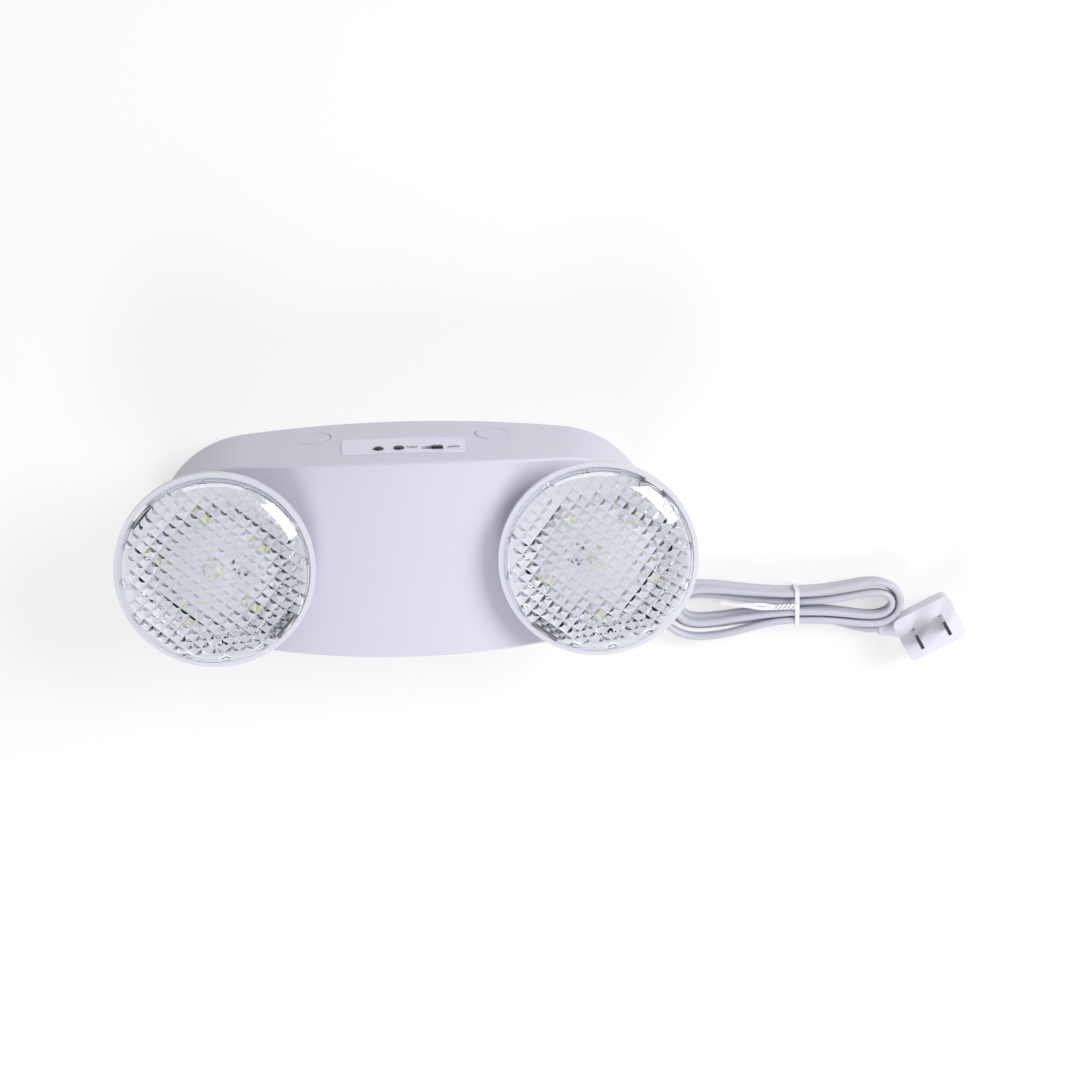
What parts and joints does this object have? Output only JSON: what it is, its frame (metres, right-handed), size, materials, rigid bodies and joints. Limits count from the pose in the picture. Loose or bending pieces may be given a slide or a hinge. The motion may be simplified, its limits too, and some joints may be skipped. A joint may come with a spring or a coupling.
{
  "type": "emergency light",
  "caption": "Oval wall-mounted emergency light with swivelling round lamp heads, a switch panel on its side and a flat mains cord with plug, tied in a hank.",
  "frame": {"origin": "middle of the housing's flat back, on the wall or table plane", "axes": "+Z points out of the wall, through the lamp faces; +X runs along the housing's length towards the end that the cord leaves; +Y points to the long side with the switch panel, which faces down when the light hangs on a wall"},
  "size_m": [0.3522, 0.1077, 0.0659],
  "materials": {
    "housing_white": "satin moulded ABS",
    "head_white": "satin moulded ABS",
    "label_film": "printed film",
    "dark_plastic": "moulded, matt",
    "lamp_lens_dark": "tinted epoxy",
    "switch_metal": "plated",
    "circuit_green": "solder mask",
    "steel": "zinc plated",
    "core_steel": "laminated",
    "coil_copper": "taped winding",
    "can_sleeve": "shrunk sleeve",
    "socket_nylon": "nylon",
    "wire_dark": "PVC",
    "wire_red": "PVC",
    "cell_metal": "plated can",
    "wrap_green": "shrunk film",
    "board_pale": "white solder mask",
    "chip_phosphor": "silicone over phosphor",
    "reflector_white": "smooth",
    "lens_clear": "clear prismatic plastic",
    "cord_white": "soft PVC",
    "tie_white": "coated wire",
    "plug_white": "soft moulded PVC",
    "blade_metal": "nickel plated"
  },
  "bodies": {
    "root": {"front_cover": "housing_white", "back_plate": "housing_white", "plate_screws": "steel", "panel_label": "label_film", "indicator_lamp": "lamp_lens_dark", "button_switch": "dark_plastic", "slide_switch": "switch_metal", "switch_board": "circuit_green", "main_board": "circuit_green", "board_screws": "steel", "transformer_core": "core_steel", "transformer_coil": "coil_copper", "capacitors": "can_sleeve", "relay": "dark_plastic", "wire_sockets": "socket_nylon", "link_wires": "wire_dark", "battery_cells": "cell_metal", "battery_wrap": "wrap_green", "battery_strap": "steel", "strap_screws": "steel", "battery_lead": "wire_red", "supply_lead": "cord_white", "cord_gland": "cord_white", "lamp_lead_left": "wire_dark", "lamp_lead_right": "wire_dark", "cord_lead": "cord_white", "cord_hank": "cord_white", "cord_tail": "cord_white", "twist_tie": "tie_white", "plug_body": "plug_white", "plug_blades": "blade_metal"},
    "swivel_left": {"swivel_left": "head_white", "swivel_clip_left": "steel", "hinge_bolt_left": "steel", "hinge_nut_left": "steel"},
    "head_left": {"head_shell_left": "head_white", "lamp_board_left": "board_pale", "lamp_chips_left": "chip_phosphor", "reflector_left": "reflector_white", "lens_left": "lens_clear", "head_lead_left": "wire_dark"},
    "swivel_right": {"swivel_right": "head_white", "swivel_clip_right": "steel", "hinge_bolt_right": "steel", "hinge_nut_right": "steel"},
    "head_right": {"head_shell_right": "head_white", "lamp_board_right": "board_pale", "lamp_chips_right": "chip_phosphor", "reflector_right": "reflector_white", "lens_right": "lens_clear", "head_lead_right": "wire_dark"},
    "test_button": {"test_button": "dark_plastic"},
    "switch_knob": {"switch_knob": "dark_plastic"}
  },
  "joints": [
    {"name": "pan_left", "type": "hinge", "parent": "root", "child": "swivel_left", "pos_m": [-0.077, 0, 0.04268], "axis": [-0.4588, 0, 0.8886], "range_deg": [-170, 170]},
    {"name": "tilt_left", "type": "hinge", "parent": "swivel_left", "child": "head_left", "pos_m": [-0.077, 0, 0.04268], "axis": [0, -1, 0], "range_deg": [0, 55]},
    {"name": "pan_right", "type": "hinge", "parent": "root", "child": "swivel_right", "pos_m": [0.077, 0, 0.04268], "axis": [0.4588, 0, 0.8886], "range_deg": [-170, 170]},
    {"name": "tilt_right", "type": "hinge", "parent": "swivel_right", "child": "head_right", "pos_m": [0.077, 0, 0.04268], "axis": [0, 1, 0], "range_deg": [0, 55]},
    {"name": "button_press", "type": "slide", "parent": "root", "child": "test_button", "axis": [0, -1, 0], "range_m": [0, 0.0008], "stiffness_N_per_m": 600, "springref_m": -0.0005},
    {"name": "switch_slide", "type": "slide", "parent": "root", "child": "switch_knob", "axis": [-1, 0, 0], "range_m": [0, 0.004]}
  ]
}
